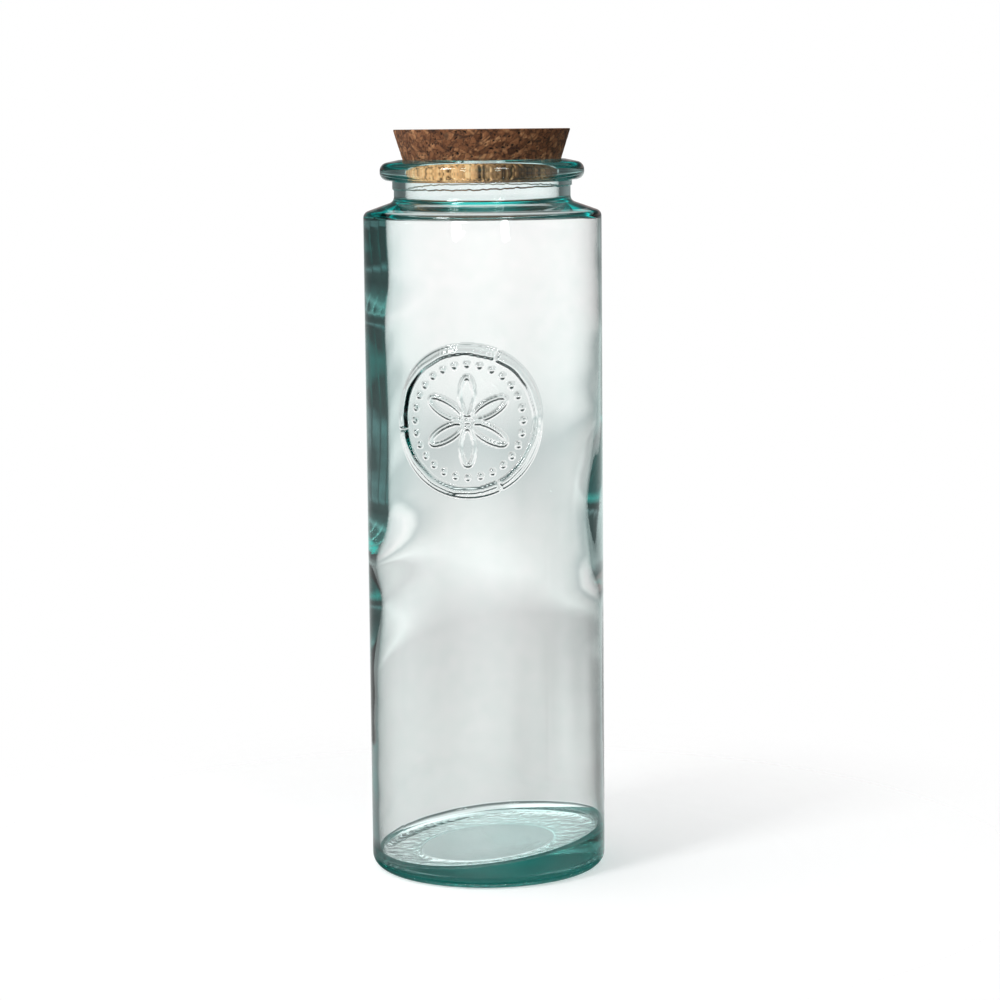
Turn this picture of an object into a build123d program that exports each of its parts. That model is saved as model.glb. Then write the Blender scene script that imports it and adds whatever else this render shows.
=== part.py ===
from build123d import *

import os
from math import cos, pi, radians, sin, tan

# A tall round storage jar of thick greenish glass, closed by a tapered cork stopper.
# Lengths are in millimetres and angles in degrees. The origin is the centre of the ring
# that the jar stands on, +Z is up, and the round seal pressed into the wall faces -Y.

# Body of the jar
body_diameter = 95.0
jar_height = 286.0  # from the foot to the top of the lip
heel_round = 5.0  # between the foot and the wall
shoulder_slope = 19.6  # angle of the shoulder to the level
shoulder_round = 2.8  # between the wall and the shoulder
wall_thickness = 4.0  # nominal, see wall_shares
shoulder_thickness = 1.9  # measured squarely

# Neck, collar and lip
mouth_bore = 61.4
neck_wall = 4.5
neck_height = 16.4  # from the foot of the neck to the top of the lip
neck_round = 2.6  # between the shoulder and the neck
collar_step = 0.6  # the collar under the lip stands this far out of the neck
collar_drop = 10.5  # from the top of the lip to the underside of the collar
lip_overhang = 4.9  # the lip stands this far out of the collar
lip_drop = 8.4  # from the top of the lip to its root on the collar
lip_rim_height = 6.2  # height of the lip at its widest, before rounding
lip_rim_round = 3.3  # so that the rim is nearly half round
lip_crown_round = 0.8  # around the mouth
lip_top_slope = 12.0  # fall of the lip's upper side

# Inside of the jar
neck_inner_round_share = 0.25  # of the shoulder's width inside, where the bore opens
shoulder_inner_round_share = 0.3  # of the same width, where the shoulder meets the wall
floor_thickness = 10.0  # on the axis
floor_tilt = 6.6  # the floor inside is higher towards +X
floor_lean = 2.4  # and a little higher towards +Y
floor_round = 3.5  # between the floor and the wall

# Foot
foot_ring_bore = 60.0  # inner diameter of the ring that touches the table
push_up = 1.6  # height of the hollow inside the foot ring
push_up_slope = 30.0

# Stopper
stopper_height = 20.8
stopper_stand = 12.0  # how far it stands above the lip
stopper_taper = 17.4  # half angle of the cone
stopper_edge_round = 0.4
seat_depth = 3.0  # depth of the mouth's cone, which the stopper wedges in
seat_clearance = 0.05  # radial running clearance between stopper and mouth

# Seal on the wall
seal_diameter = 60.0  # measured along the wall
seal_height = 186.0  # height of its centre
seal_relief = 1.6
seal_rim_width = 3.6
seal_rim_bevel = 0.7
break_width = 1.3  # gaps in the rim, as a stamp leaves them
break_angles = (66.0, 188.0, 296.0)
ornament_relief = 0.9
pearl_count = 28
pearl_diameter = 2.2
pearl_circle = 44.0  # diameter of the circle of pearls
petal_count = 6
petal_length = 16.0
petal_width = 6.6
petal_line = 1.3  # width of the raised line around a petal
petal_start = 1.8  # distance from the centre to a petal's inner point
boss_diameter = 2.6  # the dot in the middle

overrun = 2.0  # cutting shapes reach this far past what they cut

# Thickness of the blown wall up the jar. Each row holds the height as a share of the
# straight part inside, then the walls towards -X and +X as shares of wall_thickness.
wall_shares = (
    (0.0, 0.60, 0.42),
    (0.30, 0.65, 0.42),
    (0.42, 0.92, 0.45),
    (0.48, 0.60, 0.80),
    (0.56, 1.40, 0.95),
    (0.71, 1.50, 0.55),
    (0.86, 1.35, 0.40),
    (0.92, 1.75, 0.45),
    (1.0, 0.975, 0.975),
)
wall_sections = 25  # circles that carry the uneven inner face

# Worked out from the sizes above
body_radius = body_diameter / 2
bore_radius = mouth_bore / 2
neck_radius = bore_radius + neck_wall
collar_radius = neck_radius + collar_step
lip_radius = collar_radius + lip_overhang
taper = tan(radians(stopper_taper))
slope = tan(radians(shoulder_slope))
neck_foot = jar_height - neck_height
shoulder_edge = neck_foot - (body_radius - neck_radius) * slope
seat_radius = bore_radius + seat_depth * taper  # of the cone at the top of the lip
seat_foot = jar_height - seat_depth
lip_crown = seat_radius + lip_crown_round * 2
lip_rim_top = jar_height - (lip_radius - lip_crown) * tan(radians(lip_top_slope))
lip_rim_foot = lip_rim_top - lip_rim_height
stopper_top = jar_height + stopper_stand
stopper_foot = stopper_top - stopper_height
stopper_lip_radius = seat_radius - seat_clearance  # of the stopper, level with the lip
stopper_top_radius = stopper_lip_radius + stopper_stand * taper
stopper_foot_radius = stopper_lip_radius - (stopper_height - stopper_stand) * taper
cavity_radius = body_radius - wall_thickness * wall_shares[-1][1]
bore_foot = neck_foot + neck_wall * slope - shoulder_thickness / cos(radians(shoulder_slope))
shoulder_width = cavity_radius - bore_radius  # inside
neck_inner_round = shoulder_width * neck_inner_round_share
shoulder_inner_round = shoulder_width * shoulder_inner_round_share
cavity_shoulder = bore_foot - shoulder_width * slope
cavity_straight = cavity_shoulder - shoulder_inner_round  # top of the blown, uneven part
seal_radius = seal_diameter / 2
seal_half_angle = seal_radius / body_radius  # radians, round the jar
seal_sagitta = body_radius * (1 - cos(seal_half_angle))


def around(length):
    """Sideways distance from the seal's middle line of a length measured along the wall."""
    return body_radius * sin(length / body_radius)


def blown_wall(height_share):
    """Walls towards -X and +X at a share of the height, eased from row to row of the table."""
    for low, high in zip(wall_shares, wall_shares[1:]):
        if height_share <= high[0]:
            ease = (1 - cos(pi * (height_share - low[0]) / (high[0] - low[0]))) / 2
            return [wall_thickness * (a + (b - a) * ease) for a, b in zip(low[1:], high[1:])]


# Inside of the lower jar: circles lofted up the uneven wall, cut off by the tilted floor
with BuildPart() as blown_cavity:
    for section_number in range(wall_sections):
        height_share = section_number / (wall_sections - 1)
        left_wall, right_wall = blown_wall(height_share)
        with BuildSketch(Plane.XY.offset(cavity_straight * height_share)):
            with Locations(((left_wall - right_wall) / 2, 0)):
                Circle(body_radius - (left_wall + right_wall) / 2)
    loft()
    floor_plane = Plane.XY.offset(floor_thickness).rotated((floor_lean, -floor_tilt, 0))
    split(bisect_by=floor_plane, keep=Keep.TOP)
    floor_face = blown_cavity.faces().filter_by(GeomType.PLANE).sort_by(Axis.Z)[0]
    fillet(floor_face.edges(), radius=floor_round)

# Inside of the shoulder, the neck and the mouth
with BuildPart() as neck_cavity:
    with BuildSketch(Plane.XZ):
        with BuildLine():
            FilletPolyline(
                (cavity_radius, cavity_straight),
                (cavity_radius, cavity_shoulder),
                (bore_radius, bore_foot),
                (bore_radius, seat_foot),
                radius=[shoulder_inner_round, neck_inner_round],
            )
            Polyline(
                (bore_radius, seat_foot),
                (seat_radius + overrun * taper, jar_height + overrun),
                (0, jar_height + overrun),
                (0, cavity_straight),
                (cavity_radius, cavity_straight),
            )
        make_face()
    revolve(axis=Axis.Z)

# The seal: a raised rim with a few breaks, and an ornament of pearls and petals inside
seal_back = seal_sagitta + wall_thickness / 2
seal_plane = Plane(
    origin=(0, seal_back - body_radius, seal_height), x_dir=(1, 0, 0), z_dir=(0, -1, 0)
)
seal_bottom = Plane.XY.offset(seal_height - seal_radius - overrun)

with BuildPart() as seal_rim:
    with BuildSketch(seal_plane):
        Ellipse(around(seal_radius), seal_radius)
        inner_radius = seal_radius - seal_rim_width
        Ellipse(around(inner_radius), inner_radius, mode=Mode.SUBTRACT)
    extrude(amount=seal_back + seal_relief)
    with BuildSketch(seal_bottom):
        Circle(body_radius + seal_relief)
    extrude(amount=seal_diameter + 2 * overrun, mode=Mode.INTERSECT)
    rim_face = seal_rim.faces().filter_by(GeomType.CYLINDER).sort_by(Axis.Y)[0]
    chamfer(rim_face.edges(), length=seal_rim_bevel)
    with BuildSketch(seal_plane):
        middle_radius = seal_radius - seal_rim_width / 2
        for angle in break_angles:
            across = around(middle_radius * cos(radians(angle)))
            up = middle_radius * sin(radians(angle))
            with Locations(Location((across, up, 0), (0, 0, angle))):
                Rectangle(seal_rim_width + 2 * overrun, break_width)
    extrude(amount=seal_back + seal_relief + overrun, mode=Mode.SUBTRACT)

with BuildPart() as seal_ornament:
    with BuildSketch(seal_plane):
        Circle(boss_diameter / 2)
        for pearl in range(pearl_count):
            angle = 2 * pi * pearl / pearl_count
            radius = pearl_circle / 2
            with Locations((around(radius * sin(angle)), radius * cos(angle))):
                Circle(pearl_diameter / 2)
        with PolarLocations(petal_start + petal_length / 2, petal_count, 90):
            Ellipse(petal_length / 2, petal_width / 2)
            Ellipse(
                petal_length / 2 - petal_line, petal_width / 2 - petal_line, mode=Mode.SUBTRACT
            )
    extrude(amount=seal_back + ornament_relief)
    with BuildSketch(seal_bottom):
        Circle(body_radius + ornament_relief)
    extrude(amount=seal_diameter + 2 * overrun, mode=Mode.INTERSECT)

# The jar: the turned outside with the seal on it, less the inside and the foot's hollow
with BuildPart() as glass_jar:
    with BuildSketch(Plane.XZ):
        with BuildLine():
            FilletPolyline(
                (0, 0),
                (body_radius, 0),
                (body_radius, shoulder_edge),
                (neck_radius, neck_foot),
                (neck_radius, jar_height - collar_drop),
                radius=[heel_round, shoulder_round, neck_round],
            )
            Polyline(
                (neck_radius, jar_height - collar_drop),
                (collar_radius, jar_height - collar_drop),
                (collar_radius, jar_height - lip_drop),
            )
            FilletPolyline(
                (collar_radius, jar_height - lip_drop),
                (lip_radius, lip_rim_foot),
                (lip_radius, lip_rim_top),
                (lip_crown, jar_height),
                (seat_radius, jar_height),
                radius=[lip_rim_round, lip_rim_round, lip_crown_round],
            )
            Polyline((seat_radius, jar_height), (0, jar_height), (0, 0))
        make_face()
    revolve(axis=Axis.Z)
    add(seal_rim.part)
    add(seal_ornament.part)
    add(blown_cavity.part, mode=Mode.SUBTRACT)
    add(neck_cavity.part, mode=Mode.SUBTRACT)
    with BuildSketch(Plane.XZ):
        foot_ring_radius = foot_ring_bore / 2
        with BuildLine():
            Polyline(
                (0, -overrun),
                (foot_ring_radius, -overrun),
                (foot_ring_radius, 0),
                (foot_ring_radius - push_up / tan(radians(push_up_slope)), push_up),
                (0, push_up),
                close=True,
            )
        make_face()
    revolve(axis=Axis.Z, mode=Mode.SUBTRACT)
glass_jar.part.label = "glass_jar"

# The stopper: a plain cone of pressed cork granules, wedged in the mouth
with BuildPart() as cork_stopper:
    with BuildSketch(Plane.XZ):
        with BuildLine():
            Polyline(
                (0, stopper_foot),
                (stopper_foot_radius, stopper_foot),
                (stopper_top_radius, stopper_top),
                (0, stopper_top),
                close=True,
            )
        make_face()
    revolve(axis=Axis.Z)
    fillet(cork_stopper.edges().filter_by(GeomType.CIRCLE), radius=stopper_edge_round)
cork_stopper.part.label = "cork_stopper"

capacity = (blown_cavity.part.volume + neck_cavity.part.volume) / 1000
print("height with the stopper", stopper_top, "mm, lip diameter", round(2 * lip_radius, 1))
print("stopper diameters", round(2 * stopper_top_radius, 2), round(2 * stopper_foot_radius, 2))
print("room inside, brimful", round(capacity), "ml")

os.makedirs("parts", exist_ok=True)
export_step(glass_jar.part, "parts/glass_jar.step")
export_step(cork_stopper.part, "parts/cork_stopper.step")
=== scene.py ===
# %% [markdown]
# # A tall glass jar with a cork stopper
# The CAD model holds the real sizes of two solids, the jar and its stopper. This script keeps
# those places and sizes and makes the looks: thick uneven glass and pressed cork granules,
# a camera, a pale floor and soft light. Each step says what the piece is on the real object,
# how it could be made, and why this way was chosen.

import bpy
import numpy as np
from mathutils import Matrix, Vector


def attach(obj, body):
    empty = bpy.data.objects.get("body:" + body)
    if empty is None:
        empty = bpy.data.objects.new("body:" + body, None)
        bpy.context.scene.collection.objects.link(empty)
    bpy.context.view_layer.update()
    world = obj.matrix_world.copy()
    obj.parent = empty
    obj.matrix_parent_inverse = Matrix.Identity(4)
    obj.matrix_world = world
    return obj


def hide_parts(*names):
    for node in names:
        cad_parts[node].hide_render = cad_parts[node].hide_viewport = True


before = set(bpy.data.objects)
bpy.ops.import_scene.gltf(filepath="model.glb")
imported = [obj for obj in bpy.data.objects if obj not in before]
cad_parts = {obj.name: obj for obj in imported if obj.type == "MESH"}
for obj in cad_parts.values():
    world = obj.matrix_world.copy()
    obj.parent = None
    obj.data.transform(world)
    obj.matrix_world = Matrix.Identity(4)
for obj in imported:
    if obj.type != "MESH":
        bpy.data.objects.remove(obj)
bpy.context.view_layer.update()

# %% [markdown]
# ## Putting a surface into a mesh
# A jar and a stopper are both closed skins that can be unrolled: one parameter follows the
# profile from the middle of the underside, up the outside, to the middle of the far end,
# and the other goes round the axis. Spin or Lathe modifiers would make a round skin too,
# but a grid of points worked out with numpy lets the wall be eccentric, the floor tilted
# and the seal raised, all in the same skin. Each pole is one vertex with a fan of triangles.

# %% Closed skin from a grid


def closed_skin(name, x, y, z):
    """Mesh object from three grids of coordinates, in metres. Rows follow the profile and
    columns go round, the last column joining the first. The first and last rows shrink to
    one vertex each, the poles. Faces point to the right of the way up the profile."""
    rows, columns = x.shape
    inner = np.stack([x[1:-1], y[1:-1], z[1:-1]], axis=-1).reshape(-1, 3)
    poles = np.array([[g[0].mean(), g[-1].mean()] for g in (x, y, z)]).T
    points = np.concatenate([inner, poles])
    ring = np.arange(columns)
    after = np.roll(ring, -1)
    base = (np.arange(rows - 3) * columns)[:, None]
    quads = np.stack(
        [base + ring, base + after, base + columns + after, base + columns + ring], axis=-1
    ).reshape(-1, 4)
    start, end = len(inner), len(inner) + 1
    last = (rows - 3) * columns
    fans = np.concatenate([
        np.stack([np.full(columns, start), after, ring], axis=-1),
        np.stack([np.full(columns, end), last + ring, last + after], axis=-1),
    ])
    corners = np.concatenate([quads.ravel(), fans.ravel()]).astype(np.int32)
    sides = np.concatenate([np.full(len(quads), 4), np.full(len(fans), 3)])
    starts = np.concatenate([[0], np.cumsum(sides)[:-1]]).astype(np.int32)
    mesh = bpy.data.meshes.new(name)
    mesh.vertices.add(len(points))
    mesh.vertices.foreach_set("co", points.astype(np.float32).ravel())
    mesh.loops.add(len(corners))
    mesh.loops.foreach_set("vertex_index", corners)
    mesh.polygons.add(len(sides))
    mesh.polygons.foreach_set("loop_start", starts)
    mesh.polygons.foreach_set("use_smooth", np.ones(len(sides), bool))
    mesh.update(calc_edges=True)
    mesh.validate()
    skin = bpy.data.objects.new(name, mesh)
    bpy.context.scene.collection.objects.link(skin)
    print(name, len(points), "vertices", 2 * len(quads) + len(fans), "triangles")
    return skin


# %% Numbers kept on a skin


def skin_values(skin, name, grid):
    """One number per vertex, kept on the mesh for its material to read. The grid has a row for
    each ring, poles included, as in closed_skin."""
    values = np.concatenate([grid[1:-1].ravel(), [grid[0].mean(), grid[-1].mean()]])
    layer = skin.data.attributes.new(name, "FLOAT", "POINT")
    layer.data.foreach_set("value", values.astype(np.float32))


# %% [markdown]
# ## Rounded profiles
# Moulded glass has no sharp edge, and the light along its round edges is what makes it look
# like glass. A Bevel modifier would have to find those edges in the finished mesh, so the
# rounding is worked out on the profile instead, where each corner has a radius of its own.

# %% Rounded profiles
mm = 0.001


def run_rows(start, end, steps, hold=0.1 * mm):
    """Points inside a straight run: one close to each end, and even steps between those. A run
    too short for that gets none."""
    length = np.linalg.norm(end - start)
    if length < 4 * hold:
        return np.zeros((0, 2))
    return start + (end - start) * np.linspace(hold / length, 1 - hold / length, steps + 1)[:, None]


def rounded(corners, radii, arc_steps, run_steps):
    """Profile points through corners (radius, height): each corner becomes an arc that touches
    both of its sides, and the straight run before each corner is divided evenly. Each run also
    gets a row close to both of its ends, so that smooth shading bends only there."""
    corners = np.array(corners, float)
    rows, here = [corners[:1]], corners[0]
    for before, corner, beyond, radius, steps, run in zip(
        corners, corners[1:], corners[2:], radii, arc_steps, run_steps
    ):
        back = (before - corner) / np.linalg.norm(before - corner)
        ahead = (beyond - corner) / np.linalg.norm(beyond - corner)
        half = np.arccos(np.clip(back @ ahead, -1, 1)) / 2
        reach = radius / np.tan(half)
        middle = (back + ahead) / np.linalg.norm(back + ahead) * radius / np.sin(half) + corner
        first, final = corner + back * reach - middle, corner + ahead * reach - middle
        turn, share = np.pi - 2 * half, np.linspace(0, 1, steps + 1)[:, None]
        arc = np.sin((1 - share) * turn) * first + np.sin(share * turn) * final
        arc = middle + arc / np.sin(turn)
        rows += [run_rows(here, arc[0], run), arc]
        here = arc[-1]
    return np.concatenate(rows + [run_rows(here, corners[-1], run_steps[-1]), corners[-1:]])


# %% [markdown]
# ## The camera
# The photograph shows neither the top nor the underside of the stopper, so it was taken level
# with the stopper's top, from about 1.15 m away and with a long lens. The camera here stands
# there, a little to the right of the seal, and looks down to take in the whole jar.
# A Track To constraint would aim it too, but three directions worked out one by one also give
# the slight roll, and they stay exactly the same in every run.

# %% Camera
camera_distance = 1.152
camera_height = 0.298
camera_side = np.radians(8.0)  # round the jar, from the seal's middle towards +X
pixels_per_radian, frame_pixels, sensor_width = 2875, 1000, 36
look_down = np.radians(7.36)
look_right = np.radians(0.295)
camera_roll = np.radians(-0.55)

camera_data = bpy.data.cameras.new("camera")
camera_data.sensor_width = sensor_width
camera_data.lens = pixels_per_radian / frame_pixels * sensor_width
camera_data.clip_start, camera_data.clip_end = 0.05, 20
camera = bpy.data.objects.new("camera", camera_data)
bpy.context.scene.collection.objects.link(camera)
bpy.context.scene.camera = camera
heading = -camera_side + look_right
ahead = Vector((
    np.sin(heading) * np.cos(look_down), np.cos(heading) * np.cos(look_down), -np.sin(look_down)
))
across = ahead.cross(Vector((0, 0, 1))).normalized()
upward = across.cross(ahead)
tilted_across = across * np.cos(camera_roll) + upward * np.sin(camera_roll)
tilted_upward = upward * np.cos(camera_roll) - across * np.sin(camera_roll)
turned = Matrix((tilted_across, tilted_upward, -ahead)).transposed().to_4x4()
camera.matrix_world = Matrix.Translation((
    camera_distance * np.sin(camera_side), -camera_distance * np.cos(camera_side), camera_height
)) @ turned
print("lens", round(camera_data.lens, 1), "mm, looking down", round(np.degrees(look_down), 2))

# %% [markdown]
# ## Sizes of the jar
# These are the CAD sizes once more, in metres, because this script can't read the CAD source.
# Every shape below is worked out from them, so that it lies on the solids or inside them.

# %% Jar sizes
body_radius, jar_height = 47.5 * mm, 286 * mm
shoulder_edge, neck_foot, neck_radius = 265.22 * mm, 269.6 * mm, 35.2 * mm
collar_radius, collar_foot, lip_root = 35.8 * mm, 275.5 * mm, 277.6 * mm
lip_radius, lip_rim_foot, lip_rim_top = 40.7 * mm, 278.21 * mm, 284.41 * mm
lip_crown, seat_radius, seat_foot = 33.24 * mm, 31.64 * mm, 283 * mm
bore_radius, bore_foot = 30.7 * mm, 269.19 * mm
cavity_radius, cavity_shoulder, cavity_straight = 43.6 * mm, 264.59 * mm, 260.72 * mm
push_up, push_up_radius, foot_ring_radius = 1.6 * mm, 27.23 * mm, 30 * mm
floor_thickness, floor_round = 10 * mm, 3.5 * mm  # the thickness is on the axis
floor_tilt, floor_lean = np.tan(np.radians(6.6)), np.tan(np.radians(2.4))  # slopes along X and Y
wall_thickness = 4 * mm
wall_shares = np.array([
    (0.0, 0.60, 0.42), (0.30, 0.65, 0.42), (0.42, 0.92, 0.45), (0.48, 0.60, 0.80),
    (0.56, 1.40, 0.95), (0.71, 1.50, 0.55), (0.86, 1.35, 0.40), (0.92, 1.70, 0.45),
    (1.0, 1.60, 0.45),
])  # share of the height, then the walls towards -X and +X as shares of wall_thickness
print("jar", body_radius * 2 / mm, "mm across and", jar_height / mm, "mm high")

# %% [markdown]
# ## Columns round the jar
# The seal faces -Y and has lines a little over a millimetre wide, so the columns are close
# together there and wide apart elsewhere. That puts the detail where it is needed and keeps
# the whole jar under 200,000 triangles.

# %% Columns
seal_columns, other_columns = 150, 108
seal_half_width = np.radians(38)
front = -np.pi / 2
near = np.linspace(-seal_half_width, seal_half_width, seal_columns, endpoint=False)
far = np.linspace(seal_half_width, 2 * np.pi - seal_half_width, other_columns, endpoint=False)
angle = front + np.concatenate([near, far])[None, :]
from_seal = np.concatenate([near, far - 2 * np.pi * (far > np.pi)])[None, :]
print("columns", angle.size, "of", round(float(body_radius * (near[1] - near[0])) / mm, 2), "mm")

# %% [markdown]
# ## The seal on the wall
# On the real jar the mould presses a round seal into the wall: a wobbly raised rim with a few
# breaks, and an ornament inside. Here it is a height over the wall, worked out from the
# distance along the wall and up it, so the raised glass bends the light as real relief does.
# A bump in the material would only tilt the shading and show nothing in the outline.

# %% Sizes of the seal
seal_radius, seal_height = 30 * mm, 186 * mm
seal_relief, ornament_relief = 1.6 * mm, 0.9 * mm
step_relief, step_soft = 0.55 * seal_relief, 0.35 * mm
step_inside, step_inside_end = 25.9 * mm, 26.5 * mm
rim_radius, rim_half_width, rim_soft = 27.1 * mm, 0.95 * mm, 0.6 * mm
rim_waves = [(3, 0.6, 0.22 * mm), (7, 2, 0.16 * mm), (17, 0, 0.1 * mm)]
break_angles = np.radians([66.0, 188.0, 296.0])
break_start, break_end = 0.35 * mm, 1.0 * mm
pearl_count, pearl_ring, pearl_radius = 28, 22 * mm, 1.15 * mm
petal_count, petal_middle = 6, 9.8 * mm
petal_half_length, petal_half_width = 7.35 * mm, 2.65 * mm
petal_line, petal_soft, boss_radius = 0.60 * mm, 0.5 * mm, 1.4 * mm
tiny = 1e-9  # keeps a distance from being divided by zero
print("seal", 2 * seal_radius / mm, "mm across with", pearl_count, "pearls and", petal_count, "petals")

# %% Smooth steps and waves


def ease(low, high, value):
    """Smooth step: 0 below low, 1 above high, and a cubic without corners between them."""
    share = np.clip((value - low) / (high - low), 0, 1)
    return share * share * (3 - 2 * share)


def waves_round(turn, table):
    """Sum of sine waves round the axis, from rows of (waves in a full turn, phase, height)."""
    return sum(size * np.sin(count * turn + phase) for count, phase, size in table)


# %% Seal as a height over the wall


def raised_line(distance, half_width, soft):
    """1 within half_width of a line and 0 outside, eased over the length soft."""
    return 1 - ease(half_width - soft / 2, half_width + soft / 2, np.abs(distance))


def drop(distance, radius):
    """Half a ball of height 1: the root of 1 less the square of distance over radius."""
    return np.sqrt(np.clip(1 - (distance / radius) ** 2, 0, 1))


def petal_lines(out, turn):
    """Lines along six ellipses that point away from the middle. The distance to an ellipse is
    its own measure of being round, less 1, divided by how steeply that measure rises."""
    between = 2 * np.pi / petal_count
    petal_at = np.round((turn - np.pi / 2) / between) * between + np.pi / 2
    lengthways = out * np.cos(turn - petal_at) - petal_middle
    sideways = out * np.sin(turn - petal_at)
    roundness = np.hypot(lengthways / petal_half_length, sideways / petal_half_width) + tiny
    rise = np.hypot(lengthways / petal_half_length**2, sideways / petal_half_width**2)
    steepness = rise / roundness + tiny
    return raised_line((roundness - 1) / steepness, petal_line, petal_soft)


def seal_relief_at(along, up):
    """Height of the glass over the wall at a place along the wall and up from the seal's middle:
    the largest of a low outer step, a wobbly rim with breaks, pearls, petal lines and a boss."""
    out, turn = np.hypot(along, up), np.arctan2(up, along)
    outer_step = step_relief * ease(step_soft, -step_soft, out - seal_radius + step_soft)
    outer_step = outer_step * ease(step_inside, step_inside_end, out)
    from_rim = out - rim_radius - waves_round(turn, rim_waves)
    rim = seal_relief * raised_line(from_rim, rim_half_width, rim_soft)
    from_break = np.abs((turn[..., None] - break_angles + np.pi) % (2 * np.pi) - np.pi) * seal_radius
    whole = np.prod(ease(break_start, break_end, from_break), axis=-1)
    between = 2 * np.pi / pearl_count
    pearl_at = np.round(turn / between) * between
    from_pearl = np.hypot(along - pearl_ring * np.cos(pearl_at), up - pearl_ring * np.sin(pearl_at))
    ornament = [drop(from_pearl, pearl_radius), petal_lines(out, turn), drop(out, boss_radius)]
    parts = [outer_step * whole, rim * whole] + [ornament_relief * part for part in ornament]
    return np.max(np.stack(parts), axis=0)


# %% [markdown]
# ## The outside of the jar
# The outside was shaped by the mould: a foot ring round a shallow hollow, a rounded heel,
# a straight wall, a sloping shoulder, a short neck, a stepped collar and a rolled lip. It is
# one profile with rounded corners, and rows are added on the wall only where the seal is.
# The inner corner under the shoulder is nearly a cone. It is narrow in front and wider
# behind, so there are two profiles, and each column takes its share of both.

# %% Outside profile
shoulder_fall = (cavity_shoulder - bore_foot) / (cavity_radius - bore_radius)
front_corner, back_corner = 1.9 * mm, 4.4 * mm  # width of the inner corner
corner_fall = 1.04  # its height as a share of its width
profile_end = cavity_straight - 1.5 * mm
roundings = np.array([
    1.0, 0.8, 5, 2.8, 2.6, 0.25, 0.25, 0.3, 3.3, 3.3, 0.7, 0.3, 0.8, 3.22, 0.6, 0.7
]) * mm


def jar_profile(corner_width):
    """Profile from the middle of the underside, over the lip, to the top of the inside wall."""
    corner_inside = cavity_radius - corner_width
    corner_top = cavity_shoulder - corner_width * shoulder_fall
    corner_bottom = corner_top - corner_fall * corner_width
    return rounded(
        [(0, push_up), (push_up_radius, push_up), (foot_ring_radius, 0), (body_radius, 0),
         (body_radius, shoulder_edge), (neck_radius, neck_foot), (neck_radius, collar_foot),
         (collar_radius, collar_foot), (collar_radius, lip_root), (lip_radius, lip_rim_foot),
         (lip_radius, lip_rim_top), (lip_crown, jar_height), (seat_radius, jar_height),
         (bore_radius, seat_foot), (bore_radius, bore_foot), (corner_inside, corner_top),
         (cavity_radius, corner_bottom), (cavity_radius, profile_end)],
        radii=roundings,
        arc_steps=[2, 2, 8, 6, 6, 2, 2, 3, 9, 9, 3, 2, 2, 6, 4, 4],
        run_steps=[4, 2, 4, 1, 4, 3, 1, 1, 1, 1, 4, 1, 2, 6, 3, 3, 2],
    )


outside, outside_behind = jar_profile(front_corner), jar_profile(back_corner)
print("profile rows", len(outside))

# %% Rows on the wall and the two profiles together
seal_rows_foot, seal_rows_top = 0.155, 0.219
rows_below, rows_at_seal, rows_above = 30, 118, 12
wall_row = int(np.argmax(np.diff(outside[:, 1])))  # the long run up the wall
low, high = outside[wall_row, 1], outside[wall_row + 1, 1]
wall_heights = np.concatenate([
    np.linspace(low, seal_rows_foot, rows_below)[1:],
    np.linspace(seal_rows_foot, seal_rows_top, rows_at_seal)[1:],
    np.linspace(seal_rows_top, high, rows_above)[1:-1],
])
wall = np.stack([np.full(wall_heights.size, body_radius), wall_heights], axis=-1)
outside = np.insert(outside, wall_row + 1, wall, axis=0)
outside_behind = np.insert(outside_behind, wall_row + 1, wall, axis=0)
behind = ease(-0.5, 0.7, np.sin(angle))  # 0 in front of the jar and 1 behind it
radius = outside[:, :1] + (outside_behind - outside)[:, :1] * behind
height = outside[:, 1:] + (outside_behind - outside)[:, 1:] * behind
print("outside rows", len(outside))

# %% Ragged collar and raised seal
collar_reach, collar_dip = 0.9 * mm, 1.1 * mm  # how far it works up and down, and its lowest place
collar_waves = [(23, 1, 0.10 * mm), (47, 0, 0.12 * mm), (83, 0, 0.10 * mm)]
dip_side, dip_width = 0.25 * np.pi, 1.4
off_surface = 0.1 * mm
at_collar = np.exp(-(((height - collar_foot) / collar_reach) ** 2))
at_collar = at_collar * (radius > neck_radius - off_surface)
dip = -collar_dip * np.clip(dip_width * np.cos(angle - front + dip_side), 0, 1)
height = height + at_collar * (waves_round(angle, collar_waves) + dip)
on_wall = np.abs(outside[:, :1] - body_radius) < off_surface / 10
radius = radius + np.where(on_wall, seal_relief_at(body_radius * from_seal, height - seal_height), 0)
print("seal raised by", round(float(radius.max() - body_radius) / mm, 2), "mm")

# %% [markdown]
# ## The inside of the jar
# The inside was shaped by the blowing, so it is smooth and uneven: its middle wanders from
# side to side and the wall swells and thins, which makes the broad light and dark shapes that
# show through the jar. At -X and +X the wall follows the table of walls. In front and behind
# it is thinner, and slow waves run over all of it. A sculpted wall would not fit the floor
# and the shoulder exactly, so the wall is a formula that both of them can ask for its place.

# %% Inside wall
front_wall_mean, front_wall_swell, front_wall_period = 2.3 * mm, 0.3 * mm, 37 * mm
side_power = 5  # how quickly the thick sides give way to the thin front and back
wide_wave, wide_rise = 0.09 * mm, 27 * mm  # a wave's height, and the rise that shifts it by a radian
narrow_wave, narrow_rise = 0.05 * mm, 19 * mm
side_ripple, ripple_rise = 0.05 * mm, 3.1 * mm
fine_streak, streak_rise, streak_beat = 0.012 * mm, 30 * mm, 37 * mm
settle_depth = 8 * mm


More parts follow.
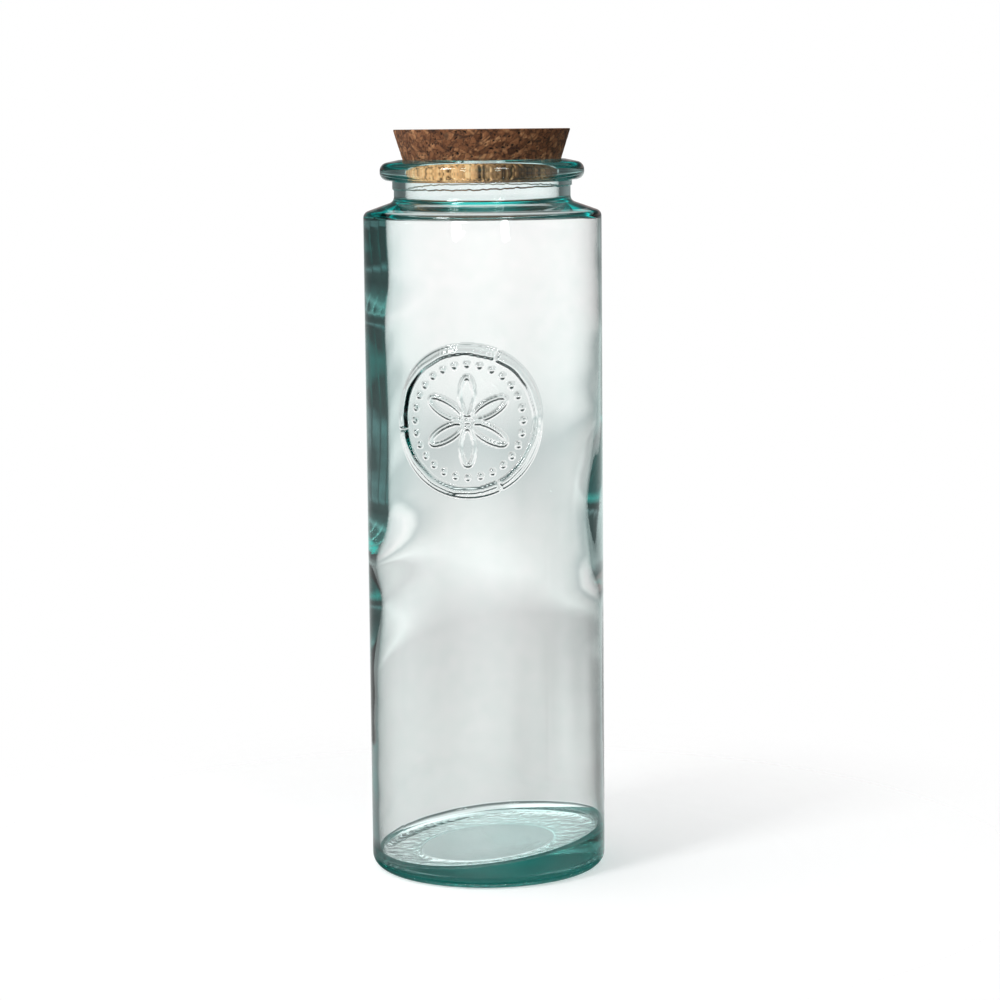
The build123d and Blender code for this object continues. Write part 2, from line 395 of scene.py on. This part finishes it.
def blown_wall(at):
    """Left and right wall at a height, eased with half a cosine from row to row of the table."""
    share = np.clip(at / cavity_straight, 0, 1)
    row = np.searchsorted(wall_shares[:, 0], share, side="right") - 1
    row = np.clip(row, 0, len(wall_shares) - 2)
    start, end = wall_shares[row, 0], wall_shares[row + 1, 0]
    blend = (1 - np.cos(np.pi * (share - start) / (end - start))) / 2
    change = wall_shares[row + 1, 1:] - wall_shares[row, 1:]
    sides = wall_shares[row, 1:] + change * blend[..., None]
    return wall_thickness * sides[..., 0], wall_thickness * sides[..., 1]


def inside_wall(turn, at):
    """Middle's place along X and radius of the inside at an angle and a height. A circle off the
    axis would give the left and right wall. It is widened in front and behind until the wall
    there is thin: the extra falls with the fifth power of the cosine towards the sides. Sines
    of the angle and the height add waves, which die out just below the shoulder."""
    left, right = blown_wall(at)
    front_wall = front_wall_mean + front_wall_swell * np.sin(at / front_wall_period + 0.8)
    to_side = np.cos(turn)
    eccentric = (left + right) / 2 - (left - right) / 2 * to_side
    side_extra = (np.where(to_side < 0, left, right) - front_wall) * np.abs(to_side) ** side_power
    thinner = eccentric - front_wall - side_extra
    waves = wide_wave * np.sin(3 * turn + at / wide_rise)
    waves = waves + narrow_wave * np.sin(5 * turn - at / narrow_rise)
    waves = waves + side_ripple * np.sin(at / ripple_rise + 2 * np.sin(2 * turn)) * to_side**6
    waves = waves + fine_streak * np.sin(21 * turn + at / streak_rise) * np.sin(at / streak_beat)
    settled = ease(0, settle_depth, cavity_straight - at)
    return (left - right) / 2, body_radius - (left + right) / 2 + thinner + waves * settled


# %% Tilted floor with a round corner
inside_rows, corner_rows, floor_rows = 58, 9, 14
measured_at = 20 * mm  # the height at which the wall's foot is measured
foot_x, foot_radius = inside_wall(angle, np.full(angle.shape, measured_at))
rise = floor_tilt * np.cos(angle) + floor_lean * np.sin(angle)  # slope of the floor, going outwards
corner_height = floor_thickness + floor_tilt * foot_x + rise * foot_radius
half_corner = (np.pi / 2 + np.arctan(rise)) / 2
inside_foot = corner_height + floor_round / np.tan(half_corner)
share = np.linspace(0, 1, inside_rows + 1)[1:, None]
wall_top = outside[-1, 1]
down = wall_top + (inside_foot - wall_top) * share
wall_x, wall_radius = inside_wall(angle, down)
share = np.linspace(0, 1, corner_rows + 1)[1:, None]
turned_by = share * (np.pi / 2 - np.arctan(rise))
corner_x, corner_radius = inside_wall(angle, np.broadcast_to(inside_foot, (corner_rows, angle.size)))
corner_radius = corner_radius - floor_round * (1 - np.cos(turned_by))
corner_z = inside_foot - floor_round * np.sin(turned_by)
share = np.linspace(1, 0, floor_rows + 1)[1:, None]
floor_radius, floor_x = corner_radius[-1:] * share, corner_x[-1:] * share
floor_z = floor_thickness + floor_tilt * floor_x + rise * floor_radius
print("floor from", round(float(floor_z.min()) / mm, 2), "to", round(float(floor_z.max()) / mm, 2), "mm")

# %% Roof under the shoulder
past_lip = np.arange(len(outside)) > np.argmax(outside[:, 1])
under_roof = past_lip & (outside[:, 1] < seat_foot - off_surface)
outwards = np.clip((outside[:, 0] - bore_radius) / (cavity_radius - bore_radius), 0, 1) * under_roof
top_x, top_radius = inside_wall(angle, np.full(angle.shape, cavity_straight))
roof_x = outwards[:, None] * top_x
radius = radius + outwards[:, None] * (top_radius - cavity_radius)
print("roof's middle moved by up to", round(float(np.abs(roof_x).max()) / mm, 2), "mm")

# %% The jar's skin
all_radius = np.concatenate([radius, wall_radius, corner_radius, floor_radius])
all_x = np.concatenate([roof_x, wall_x, corner_x, floor_x])
all_z = np.concatenate([height, down, corner_z, floor_z])
jar_glass = closed_skin(
    "jar_glass", all_x + all_radius * np.cos(angle), all_radius * np.sin(angle), all_z
)
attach(jar_glass, "jar")
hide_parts("glass_jar")

# %% [markdown]
# ## Node helpers
# A material is a graph of nodes. These helpers add a node, set its values and link sockets,
# so that the materials below read as short lists.

# %% Node helpers


def new_tree(owner):
    """Empty node graph of a material or world."""
    owner.use_nodes = True
    owner.node_tree.nodes.clear()
    return owner.node_tree


def add_node(tree, kind, **settings):
    """A node with its properties set. Numbers for its inputs are given by set_inputs."""
    node = tree.nodes.new(kind)
    for key, value in settings.items():
        setattr(node, key, value)
    return node


def set_inputs(tree, node, **inputs):
    """Sets or links inputs by name, with underscores for spaces, or by number after one
    underscore. A socket is linked, and a number or colour is written on the input itself."""
    for key, value in inputs.items():
        socket = node.inputs[int(key[1:])] if key[1:].isdigit() else node.inputs[key.replace("_", " ")]
        if isinstance(value, bpy.types.NodeSocket):
            tree.links.new(value, socket)
        else:
            socket.default_value = value
    return node


def ramp(tree, factor, stops):
    """Colour ramp from rows of (place, red, green, blue), or of (place, grey)."""
    node = add_node(tree, "ShaderNodeValToRGB")
    tree.links.new(factor, node.inputs[0])
    elements = node.color_ramp.elements
    while len(elements) < len(stops):
        elements.new(0.5)
    for element, (place, *colour) in zip(elements, stops):
        element.position = place
        element.color = (*(colour if len(colour) == 3 else colour * 3), 1)
    return node.outputs["Color"]


def math_node(tree, operation, first, second=0.0, third=0.0):
    """One sum on numbers or sockets."""
    node = add_node(tree, "ShaderNodeMath", operation=operation)
    set_inputs(tree, node, _0=first, _1=second, _2=third)
    return node.outputs[0]


def times_number(tree, first, second):
    """Two numbers or sockets multiplied."""
    return math_node(tree, "MULTIPLY", first, second)


def eased(tree, value, start, end):
    """0 on the start's side and 1 on the end's side of two values, and a smooth step between."""
    node = add_node(tree, "ShaderNodeMapRange", interpolation_type="SMOOTHSTEP")
    return set_inputs(tree, node, _0=value, _1=start, _2=end).outputs[0]


def noise(tree, place, scale, detail):
    """Cloudy noise in space, as a number about 0.5."""
    node = add_node(tree, "ShaderNodeTexNoise")
    return set_inputs(tree, node, Vector=place, Scale=scale, Detail=detail).outputs["Fac"]


def bump(tree, height, strength, distance):
    """Normal of a surface raised by a height, for the finest relief only."""
    node = add_node(tree, "ShaderNodeBump")
    return set_inputs(tree, node, Height=height, Strength=strength, Distance=distance).outputs["Normal"]


# %% [markdown]
# ## Glass
# The jar is recycled glass: clear, with a sea-green tint that deepens wherever the light has
# a long way through it, as in the thick floor and along the sides. A tinted surface would be
# green all over, so the surface is clear and the tint is a volume that absorbs red light.
# The foot ring of a moulded jar is stippled and the hollow inside it is a little frosted.
# Both are too fine for geometry: a bump on the ring, and some roughness under the foot.
# A very faint cloudiness all over keeps the glass from looking like plastic.

# %% Glass material
foot_level, ring_inside = 2.2 * mm, 28 * mm
stipple_scale, stipple_depth = 300.0, 2.4 * mm
hollow_roughness, ring_roughness, cloud_scale = 0.34, 0.10, 160.0
glass_index, tint_density, tint_colour = 1.52, 18.0, (0.0, 0.80, 0.75, 1)

glass = bpy.data.materials.new("sea_green_glass")
tree = new_tree(glass)
place = add_node(tree, "ShaderNodeTexCoord").outputs["Object"]
split = set_inputs(tree, add_node(tree, "ShaderNodeSeparateXYZ"), _0=place).outputs
under = math_node(tree, "LESS_THAN", split["Z"], foot_level)
out_squared = math_node(
    tree, "MULTIPLY_ADD", split["X"], split["X"], times_number(tree, split["Y"], split["Y"])
)
on_ring = times_number(tree, under, math_node(tree, "GREATER_THAN", out_squared, ring_inside**2))
stipple = times_number(tree, noise(tree, place, stipple_scale, 3.0), on_ring)
rough = math_node(
    tree, "MULTIPLY_ADD", on_ring, ring_roughness - hollow_roughness, hollow_roughness
)
frosted = times_number(tree, under, rough)
tint = ramp(tree, noise(tree, place, cloud_scale, 2.0), [(0.3, 0.97, 0.985, 0.98), (0.7, 1.0)])
surface = set_inputs(
    tree, add_node(tree, "ShaderNodeBsdfPrincipled"), Base_Color=tint, Roughness=frosted,
    IOR=glass_index, Transmission_Weight=1.0, Normal=bump(tree, stipple, 1.0, stipple_depth),
)
absorption = set_inputs(
    tree, add_node(tree, "ShaderNodeVolumeAbsorption"), Color=tint_colour, Density=tint_density
)
set_inputs(
    tree, add_node(tree, "ShaderNodeOutputMaterial"), Surface=surface.outputs[0],
    Volume=absorption.outputs[0],
)
jar_glass.data.materials.append(glass)
print(glass.name, len(tree.nodes), "nodes")

# %% [markdown]
# ## Cork stopper
# The stopper is turned from a block of pressed cork granules, so its skin is a cut through
# packed grains of many browns with dark seams and small pits between them. A picture of cork
# wrapped round it would smear at the edges. Here each vertex looks for the nearest grain
# middle in a jittered lattice in space, as cells are found in Voronoi patterns. The grains
# then run on from the side to the top, and the seams and pits are really sunk in.

# %% Grains of cork


def grains(points, size, seed):
    """Nearest and second nearest of one random point per lattice cell, and a random number
    that belongs to the nearest: a Voronoi pattern. Returns that number, the difference of
    both distances, which is zero on a seam, and the distance to the nearest."""
    rng = np.random.default_rng(seed)
    cell = np.floor(points / size).astype(int)
    low_cell = cell.min(axis=0) - 1
    shape = cell.max(axis=0) - low_cell + 2
    middles, tone = rng.random((*shape, 3)), rng.random(shape)
    nearest = np.full(len(points), np.inf)
    second, value = nearest.copy(), np.zeros(len(points))
    for step in np.ndindex(3, 3, 3):
        other = cell + np.array(step) - 1
        index = tuple((other - low_cell).T)
        apart = np.linalg.norm((other + middles[index]) * size - points, axis=1)
        closer = apart < nearest
        second = np.where(closer, nearest, np.minimum(second, apart))
        value = np.where(closer, tone[index], value)
        nearest = np.where(closer, apart, nearest)
    return value, second - nearest, nearest


# %% Stopper as a plain cone
stopper_top, stopper_foot = 298 * mm, 277.2 * mm
stopper_top_radius, stopper_foot_radius = 35.35 * mm, 28.83 * mm
stopper_edge = 0.4 * mm
cork_columns = 528
cork_angle = np.linspace(0, 2 * np.pi, cork_columns, endpoint=False)[None, :]
cork_profile = rounded(
    [(0, stopper_foot), (stopper_foot_radius, stopper_foot), (stopper_top_radius, stopper_top),
     (0, stopper_top)],
    radii=[stopper_edge, stopper_edge], arc_steps=[3, 3], run_steps=[46, 52, 68],
)
flat = np.stack([
    cork_profile[:, :1] * np.cos(cork_angle), cork_profile[:, :1] * np.sin(cork_angle),
    np.repeat(cork_profile[:, 1:], cork_columns, axis=1),
], axis=-1)
along = np.gradient(cork_profile, axis=0)
along /= np.linalg.norm(along, axis=1, keepdims=True)
outward = np.stack([
    along[:, 1:] * np.cos(cork_angle), along[:, 1:] * np.sin(cork_angle),
    np.repeat(-along[:, :1], cork_columns, axis=1),
], axis=-1)
print("stopper", len(cork_profile), "rows and", cork_columns, "columns")

# %% Seams and pits sunk into the cone
cork_seed = 7
grain_size, crumb_size, grain_squash = 2.6 * mm, 1.3 * mm, [1, 1, 1.25]
bend, bend_period, small_bend, small_bend_period = 0.7 * mm, 1.9 * mm, 0.5 * mm, 1.1 * mm
seam_width, pit_rim, pit_inside = 0.45 * mm, 0.70 * mm, 0.40 * mm
pit_low, pit_high = 0.72, 0.76  # only the crumbs with the highest numbers are pits
seam_sunk, pit_sunk, grain_sunk = 0.12 * mm, 0.50 * mm, 0.06 * mm
bent = flat + bend * np.sin(flat[..., [1, 2, 0]] / bend_period)
bent = bent + small_bend * np.sin(flat[..., [2, 0, 1]] / small_bend_period)
grain, seam, _ = grains(bent.reshape(-1, 3) * grain_squash, grain_size, cork_seed)
crumb, _, from_crumb = grains(bent.reshape(-1, 3), crumb_size, cork_seed + 1)
grain, seam, crumb, from_crumb = (g.reshape(flat.shape[:2]) for g in (grain, seam, crumb, from_crumb))
seam_depth = 1 - ease(0, seam_width, seam)
pit = ease(pit_low, pit_high, crumb) * (1 - ease(pit_inside, pit_rim, from_crumb))
sunk = seam_sunk * seam_depth + pit_sunk * pit + grain_sunk * (1 - grain)
bumpy = flat - outward * sunk[..., None]
stopper_cork = closed_skin("stopper_cork", bumpy[..., 0], bumpy[..., 1], bumpy[..., 2])
skin_values(stopper_cork, "grain", grain)
skin_values(stopper_cork, "seam", seam_depth)
skin_values(stopper_cork, "pit", pit)
skin_values(stopper_cork, "crumb", crumb)
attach(stopper_cork, "stopper")
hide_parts("cork_stopper")

# %% [markdown]
# ## The look of the cork
# Cut cork is matte and its grains differ in tone. A noise texture alone would cloud over the
# grains, so the colour comes from the same numbers that shaped the surface, which the mesh
# keeps for each vertex, and noise adds only a fine speckle. Inside the lip the real cork
# shines golden, because the round glass gathers light on it. Light seldom finds that way
# backwards, so there the cork gets a painted glow of its own, stronger on its -X side, and
# only rays through glass see it.

# %% Colour of the cork
cork = bpy.data.materials.new("pressed_cork")
tree = new_tree(cork)
place = add_node(tree, "ShaderNodeTexCoord").outputs["Object"]
speckle_scale, speckle_depth = 1600.0, 0.15 * mm
speckle_share, speckle_shift = 0.5, -0.22
crumb_share, grain_share, seam_share = 0.40, 0.60, 0.75
seam_colour = (0.016, 0.008, 0.005, 1)


def kept(name):
    """Number kept on the mesh under that name."""
    return add_node(tree, "ShaderNodeAttribute", attribute_name=name).outputs["Fac"]


speckle = noise(tree, place, speckle_scale, 3.0)
tone = math_node(
    tree, "MULTIPLY_ADD", kept("crumb"), crumb_share, times_number(tree, kept("grain"), grain_share)
)
tone = math_node(
    tree, "ADD", tone, math_node(tree, "MULTIPLY_ADD", speckle, speckle_share, speckle_shift)
)
cork_colour = ramp(tree, tone, [
    (0.05, 0.055, 0.017, 0.006), (0.22, 0.145, 0.050, 0.016), (0.45, 0.230, 0.086, 0.032),
    (0.70, 0.315, 0.128, 0.050), (0.95, 0.480, 0.235, 0.105),
])
dark = math_node(tree, "MAXIMUM", times_number(tree, kept("seam"), seam_share), kept("pit"))
shaded = add_node(tree, "ShaderNodeMix", data_type="RGBA")
set_inputs(tree, shaded, _0=dark, _6=cork_colour, _7=seam_colour)
print("cork colours", len(tree.nodes), "nodes")

# %% Painted golden glow inside the lip
lit_foot, lit_top = 278.2 * mm, 279.2 * mm
unlit_dark = -0.6  # seams and pits give off less light
# Colour of the painted glow inside the lip, from the cork's tone, weaker in seams and pits.
painted_glow_colour = ramp(tree, math_node(tree, "MULTIPLY_ADD", dark, unlit_dark, tone), [
    (0.0, 0.10, 0.05, 0.02), (0.2, 0.50, 0.26, 0.11), (0.5, 0.95, 0.48, 0.21), (0.9, 1.0, 0.70, 0.38),
])
level = set_inputs(tree, add_node(tree, "ShaderNodeSeparateXYZ"), _0=place).outputs["Z"]
in_lip = eased(tree, level, lit_foot, lit_top)
# Painted light: the glow is strongest where the cork faces -X and fades out towards +X, as if the
# gathered light came from the left.
normal = add_node(tree, "ShaderNodeNewGeometry").outputs["Normal"]
facing = set_inputs(tree, add_node(tree, "ShaderNodeSeparateXYZ"), _0=normal).outputs["X"]
side = ramp(tree, math_node(tree, "MULTIPLY_ADD", facing, 0.5, 0.5), [
    (0.10, 0.6), (0.25, 1.0), (0.48, 0.9), (0.60, 0.30), (0.74, 0.02),
])
behind_glass = add_node(tree, "ShaderNodeLightPath").outputs["Is Transmission Ray"]
painted_glow_strength = times_number(tree, side, times_number(tree, behind_glass, in_lip))
cork_surface = set_inputs(
    tree, add_node(tree, "ShaderNodeBsdfPrincipled"), Base_Color=shaded.outputs[2],
    Roughness=ramp(tree, speckle, [(0.3, 0.78), (0.7, 0.92)]),
    Normal=bump(tree, speckle, 0.5, speckle_depth), Emission_Color=painted_glow_colour, Emission_Strength=painted_glow_strength,
)
set_inputs(tree, add_node(tree, "ShaderNodeOutputMaterial"), Surface=cork_surface.outputs[0])
stopper_cork.data.materials.append(cork)
print(cork.name, len(tree.nodes), "nodes")

# %% [markdown]
# ## The floor
# The jar stands on a pale surface that fades into the white background. A large plane would
# show its horizon, so the floor is a disc that keeps the soft shadow close to the jar and
# turns clear further out. Rays inside the glass don't see it, because the surroundings
# already hold what the glass shows below the horizon.

# %% Floor
floor_reach, floor_sides, floor_drop = 1.2, 64, 0.05 * mm
fade_start, fade_end = 0.07, 0.30
floor_colour, floor_glow = (0.86, 0.865, 0.865, 1), 0.30

floor_mesh = bpy.data.meshes.new("floor")
floor_turn = np.linspace(0, 2 * np.pi, floor_sides, endpoint=False)
floor_points = np.stack([
    floor_reach * np.cos(floor_turn), floor_reach * np.sin(floor_turn), np.full(floor_sides, -floor_drop)
], axis=-1)
floor_mesh.from_pydata(floor_points.tolist(), [], [list(range(floor_sides))])
floor = bpy.data.objects.new("floor", floor_mesh)
bpy.context.scene.collection.objects.link(floor)
floor_paint = bpy.data.materials.new("pale_floor")
tree = new_tree(floor_paint)
place = add_node(tree, "ShaderNodeTexCoord").outputs["Object"]
out = set_inputs(
    tree, add_node(tree, "ShaderNodeVectorMath", operation="LENGTH"), _0=place
).outputs["Value"]
rays = add_node(tree, "ShaderNodeLightPath").outputs
matte = set_inputs(tree, add_node(tree, "ShaderNodeBsdfDiffuse"), Color=floor_colour)
glow = set_inputs(
    tree, add_node(tree, "ShaderNodeEmission"), Color=(1, 1, 1, 1),
    Strength=times_number(tree, rays["Is Camera Ray"], floor_glow),
)
pale = set_inputs(tree, add_node(tree, "ShaderNodeAddShader"), _0=matte.outputs[0], _1=glow.outputs[0])
clear = add_node(tree, "ShaderNodeBsdfTransparent")
in_glass = math_node(tree, "MAXIMUM", rays["Is Transmission Ray"], rays["Is Glossy Ray"])
fade = math_node(tree, "MAXIMUM", eased(tree, out, fade_start, fade_end), in_glass)
mixed = set_inputs(
    tree, add_node(tree, "ShaderNodeMixShader"), _0=fade, _1=pale.outputs[0], _2=clear.outputs[0]
)
set_inputs(tree, add_node(tree, "ShaderNodeOutputMaterial"), Surface=mixed.outputs[0])
floor_mesh.materials.append(floor_paint)
print("floor clear from", fade_end, "m")

# %% [markdown]
# ## Light around the jar
# Glass shows what is around it. A photographer puts a bright sheet behind it and dark cards
# beside it: the middle stays light and the edges go dark. Real sheets and cards would suit
# one camera only, so the same is done here with the kind of ray, which works from all sides.
# Three questions sort the rays. How often was it mirrored? Did it cross the hollow room, or
# stay in one thick piece of glass, as at the edges and in the base? And how steeply does it
# leave? Each kind of ray has a table of colours by the height of its direction.

# %% World and its rays
world = bpy.data.worlds.new("studio")
bpy.context.scene.world = world
tree = new_tree(world)
rays = add_node(tree, "ShaderNodeLightPath").outputs
direction = add_node(tree, "ShaderNodeTexCoord").outputs["Generated"]
split = set_inputs(tree, add_node(tree, "ShaderNodeSeparateXYZ"), _0=direction).outputs
up = split["Z"]


def choose(when, first, second):
    """The second colour where when is 1, the first where it is 0."""
    first, second = ((*c, 1) if isinstance(c, tuple) else c for c in (first, second))
    node = add_node(tree, "ShaderNodeMix", data_type="RGBA")
    return set_inputs(tree, node, _0=when, _6=first, _7=second).outputs[2]


def times(colour, share):
    """Colour made darker by a number."""
    node = add_node(tree, "ShaderNodeVectorMath", operation="SCALE")
    return set_inputs(tree, node, _0=colour, Scale=share).outputs[0]


def by_height(table):
    """Colour by the height of the direction, from rows of (height, red, green, blue). A ramp
    runs from 0 to 1, so a height is first multiplied by 0.6 and raised by 0.5."""
    factor = math_node(tree, "MULTIPLY_ADD", up, 0.6, 0.5)
    return ramp(tree, factor, [(0.6 * z + 0.5, *colour) for z, *colour in table])


surfaces = 2.5  # in and out of one piece of glass are 2 surfaces, across the room they are 4
one_piece = math_node(tree, "LESS_THAN", rays["Transmission Depth"], surfaces)
print("world", len(tree.nodes), "nodes")

# %% [markdown]
# ## Rays that go straight through
# Most of the wall shows these. They meet a pale sheet that is greyer lower down, which leaves
# the jar light above and grey below, and a low dark line that makes the stippled ring sparkle.
# Two cards are added: a narrow grey one behind the lower wall, and a dark strip above it that
# shows as the dark band inside the shoulder. The strip is only in front and behind, because
# from the sides it would hang in the wall as a spot. Heights and sides of a card are given as
# (where it starts to show, where it shows in full).

# %% Two cards
x_squared = times_number(tree, split["X"], split["X"])
strip_foot, strip_top, strip_turn, strip_darkness = (0.115, 0.14), (0.48, 0.42), (0.5, 0.2), 0.975
card_left, card_right, card_top, card_darkness = (-0.13, -0.04), (0.16, 0.04), (-0.07, -0.22), 0.38
strip = times_number(tree, eased(tree, up, *strip_foot), eased(tree, up, *strip_top))
strip = times_number(tree, strip, eased(tree, x_squared, *strip_turn))
left_of_strip = math_node(tree, "MULTIPLY_ADD", strip, -strip_darkness, 1.0)
card = times_number(tree, eased(tree, split["X"], *card_left), eased(tree, split["X"], *card_right))
card = times_number(tree, card, eased(tree, up, *card_top))
left_of_card = math_node(tree, "MULTIPLY_ADD", card, -card_darkness, 1.0)
print("two cards", len(tree.nodes), "nodes")

# %% Straight through
through = by_height([
    (-0.83, 1.60, 1.60, 1.60), (-0.62, 1.40, 1.40, 1.40), (-0.52, 0.30, 0.33, 0.33),
    (-0.46, 0.12, 0.15, 0.15), (-0.41, 0.25, 0.28, 0.28), (-0.36, 1.05, 1.05, 1.04),
    (-0.31, 0.84, 0.80, 0.80), (-0.26, 0.86, 0.82, 0.82), (-0.21, 0.88, 0.85, 0.84),
    (-0.175, 0.80, 0.76, 0.76), (-0.155, 1.10, 1.07, 1.06), (-0.135, 0.95, 0.92, 0.91),
    (-0.105, 0.68, 0.69, 0.69), (-0.08, 1.08, 1.04, 1.03), (-0.04, 1.24, 1.14, 1.14),
    (0.0, 1.10, 1.04, 1.04), (0.115, 1.02, 0.98, 0.98), (0.48, 1.0, 1.0, 1.0),
])
through = times(times(through, left_of_strip), left_of_card)
through = choose(one_piece, through, by_height([
    (-0.60, 0.60, 0.70, 0.70), (-0.35, 0.50, 0.55, 0.55), (-0.23, 0.48, 0.52, 0.52),
    (-0.15, 0.10, 0.20, 0.19), (0.0, 0.04, 0.12, 0.11), (0.30, 0.05, 0.16, 0.15),
    (0.60, 0.02, 0.10, 0.09),
]))
print("straight through", len(tree.nodes), "nodes")

# %% [markdown]
# ## Rays that were mirrored
# The edges, the lip and the thick base show these. One mirroring meets light sheets and dark
# gaps, and the gaps lie at the four diagonals, so that no side of the jar is the odd one out.
# From the second mirroring on it is nearly dark, with a little sea green in places.

# %% Mirrored once
mirrored = by_height([
    (-0.60, 0.10, 0.22, 0.21), (-0.37, 0.02, 0.04, 0.04), (-0.26, 0.40, 0.38, 0.38),
    (-0.17, 0.55, 0.60, 0.60), (-0.10, 0.40, 0.50, 0.50), (-0.02, 0.34, 0.38, 0.38),
    (0.04, 0.03, 0.06, 0.06), (0.14, 0.02, 0.04, 0.04), (0.21, 1.90, 1.90, 1.90),
    (0.38, 1.50, 1.55, 1.55), (0.60, 1.0, 1.05, 1.05),
])
mirrored = choose(one_piece, mirrored, by_height([
    (-0.60, 0.10, 0.22, 0.21), (-0.37, 0.05, 0.10, 0.10), (-0.26, 0.60, 0.60, 0.60),
    (-0.17, 0.80, 0.85, 0.84), (-0.10, 0.80, 0.92, 0.90), (-0.02, 0.30, 0.33, 0.33),
    (0.03, 0.12, 0.14, 0.14), (0.06, 0.42, 0.34, 0.33), (0.11, 0.38, 0.33, 0.32),
    (0.20, 0.08, 0.12, 0.12), (0.28, 0.07, 0.12, 0.12), (0.35, 0.02, 1.20, 1.12),
    (0.45, 0.02, 0.20, 0.19), (0.55, 0.05, 0.14, 0.13),
]))
gap_darkness, least_level = 0.65, 0.0001
level = math_node(tree, "MULTIPLY_ADD", split["Y"], split["Y"], x_squared)
quarter = math_node(tree, "DIVIDE", x_squared, math_node(tree, "MAXIMUM", level, least_level))
gaps = times_number(tree, math_node(tree, "SUBTRACT", 1.0, quarter), times_number(tree, quarter, 4.0))
by_sheets = math_node(tree, "MULTIPLY_ADD", gaps, -gap_darkness, 1.0)
print("mirrored once", len(tree.nodes), "nodes")

# %% Mirrored twice or more
mirrored_twice = by_height([
    (-0.60, 0.06, 0.20, 0.19), (-0.37, 0.03, 0.08, 0.08), (-0.26, 0.02, 0.04, 0.04),
    (-0.15, 0.04, 0.16, 0.15), (-0.07, 0.02, 0.04, 0.04), (0.25, 0.05, 0.07, 0.07),
    (0.38, 0.70, 0.75, 0.74), (0.62, 0.50, 0.60, 0.58),
])
mirrored_twice = choose(one_piece, mirrored_twice, by_height([
    (-0.60, 0.01, 0.05, 0.05), (-0.37, 0.02, 0.10, 0.10), (-0.25, 0.06, 0.40, 0.37),
    (-0.19, 0.06, 0.22, 0.21), (-0.15, 0.02, 0.03, 0.03), (-0.09, 0.03, 0.04, 0.04),
    (-0.05, 0.24, 0.25, 0.26), (0.0, 0.06, 0.07, 0.07), (0.12, 0.02, 0.04, 0.04),
    (0.30, 0.12, 0.15, 0.15), (0.38, 0.34, 0.36, 0.36), (0.46, 0.03, 0.07, 0.07),
    (0.70, 0.02, 0.06, 0.06), (0.80, 0.04, 0.90, 0.84),
]))
twice = math_node(tree, "GREATER_THAN", rays["Glossy Depth"], 1.5)
mirrored = choose(twice, times(mirrored, by_sheets), mirrored_twice)
print("mirrored twice", len(tree.nodes), "nodes")

# %% [markdown]
# ## All rays together
# A ray straight from the camera meets white, which is the background. Light that falls on
# the cork and the floor comes more from the left, so that the cork has a bright and a dark
# side. Where it falls on them through the glass it is plain, because the tables are made for
# what the eye sees in the glass.

# %% All rays together
plain_light, white = (1.2, 1.2, 1.2), (1, 1, 1)
less_to_right, middle_light = -0.62, 0.60
is_mirrored = math_node(tree, "GREATER_THAN", rays["Glossy Depth"], 0.5)
seen = choose(is_mirrored, through, mirrored)
lights_a_surface = math_node(tree, "GREATER_THAN", rays["Diffuse Depth"], 0.5)
seen = choose(lights_a_surface, seen, plain_light)
from_left = math_node(tree, "MULTIPLY_ADD", split["X"], less_to_right, middle_light)
in_glass = math_node(tree, "MAXIMUM", rays["Is Transmission Ray"], rays["Is Glossy Ray"])
seen = choose(in_glass, from_left, seen)
seen = choose(rays["Is Camera Ray"], seen, white)
sky = set_inputs(tree, add_node(tree, "ShaderNodeBackground"), Color=seen, Strength=1.0)
set_inputs(tree, add_node(tree, "ShaderNodeOutputWorld"), Surface=sky.outputs[0])
print("world", len(tree.nodes), "nodes")

# %% [markdown]
# ## Lamps
# Two large lamps in front light the cork, the left one more than the right one. Two small
# faint ones stand level with the wall, where the glass mirrors them as the two soft spots
# under the shoulder. Spots painted on the glass would stay in place when the view turns.

# %% Lamps
lamp_distance, aim_height = 1.3, 0.22
lamps = [  # name, degrees round the jar and upwards, width, height, power, shape
    ("left_lamp", -36, 38, 0.28, 0.36, 6, "RECTANGLE"),
    ("right_lamp", 33, 38, 0.24, 0.34, 2.5, "RECTANGLE"),
    ("left_spot", -17, -0.2, 0.20, 0.018, 0.11, "ELLIPSE"),
    ("right_spot", 29, -0.2, 0.18, 0.020, 0.11, "ELLIPSE"),
]


def softbox(name, side, elevation, width, tall, power, shape):
    """Area lamp at an angle round the jar, from the seal's middle towards +X, and above the
    horizon. It faces the upper part of the jar."""
    lamp = bpy.data.lights.new(name, "AREA")
    lamp.shape, lamp.size, lamp.size_y, lamp.energy = shape, width, tall, power
    box = bpy.data.objects.new(name, lamp)
    bpy.context.scene.collection.objects.link(box)
    back = Vector((
        np.sin(side) * np.cos(elevation), -np.cos(side) * np.cos(elevation), np.sin(elevation)
    ))
    box.rotation_mode = "QUATERNION"
    box.rotation_quaternion = back.to_track_quat("Z", "Y")
    box.location = Vector((0, 0, aim_height)) + back * lamp_distance


for name, side, elevation, *rest in lamps:
    softbox(name, np.radians(side), np.radians(elevation), *rest)
print("lamps", [name for name, *_ in lamps])

# %% [markdown]
# ## Render settings
# On its way through the jar, light passes four surfaces and is mirrored many times inside the
# wall, so more bounces are allowed than usual.

# %% Bounces and view transform
through_bounces, mirror_bounces = 32, 16
scene = bpy.context.scene
scene.view_settings.view_transform = "Standard"
scene.cycles.max_bounces = through_bounces
scene.cycles.transmission_bounces = through_bounces
scene.cycles.glossy_bounces = mirror_bounces
scene.cycles.transparent_max_bounces = mirror_bounces
